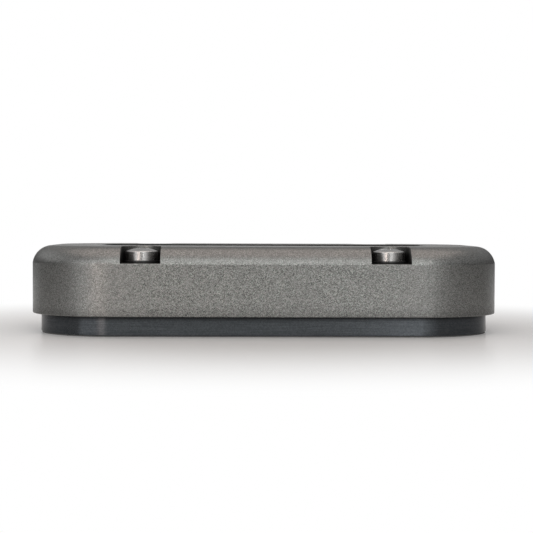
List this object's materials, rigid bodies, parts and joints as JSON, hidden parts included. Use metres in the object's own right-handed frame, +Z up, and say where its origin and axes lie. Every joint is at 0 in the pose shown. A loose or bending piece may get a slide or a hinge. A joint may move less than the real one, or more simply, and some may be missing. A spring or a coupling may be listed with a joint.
{
  "type": "deck cable seal",
  "caption": "Low rounded cover screwed over a split rubber block on a base ring, which seals cables where they pass through a deck or panel.",
  "frame": {"origin": "centre of the underside, where the seal meets the deck", "axes": "+Z up, away from the deck; +X along the cover, towards the largest cable hole; the front faces -Y"},
  "size_m": [0.14, 0.076, 0.026],
  "materials": {
    "cover_aluminium": "bead-blasted and anodised dark grey",
    "base_aluminium": "turned edge, anodised dark grey, brushed",
    "seal_rubber": "matte black moulded rubber",
    "gasket_rubber": "dark grey sheet rubber",
    "screw_steel": "polished stainless steel",
    "washer_plastic": "black plastic"
  },
  "bodies": {
    "root": {"deck_gasket": "gasket_rubber", "base_ring": "base_aluminium", "seal_front": "seal_rubber", "seal_rear": "seal_rubber", "cover": "cover_aluminium", "cover_screw_front_left": "screw_steel", "cover_screw_front_right": "screw_steel", "cover_screw_rear_left": "screw_steel", "cover_screw_rear_right": "screw_steel", "screw_washer_front_left": "washer_plastic", "screw_washer_front_right": "washer_plastic", "screw_washer_rear_left": "washer_plastic", "screw_washer_rear_right": "washer_plastic"}
  },
  "joints": []
}
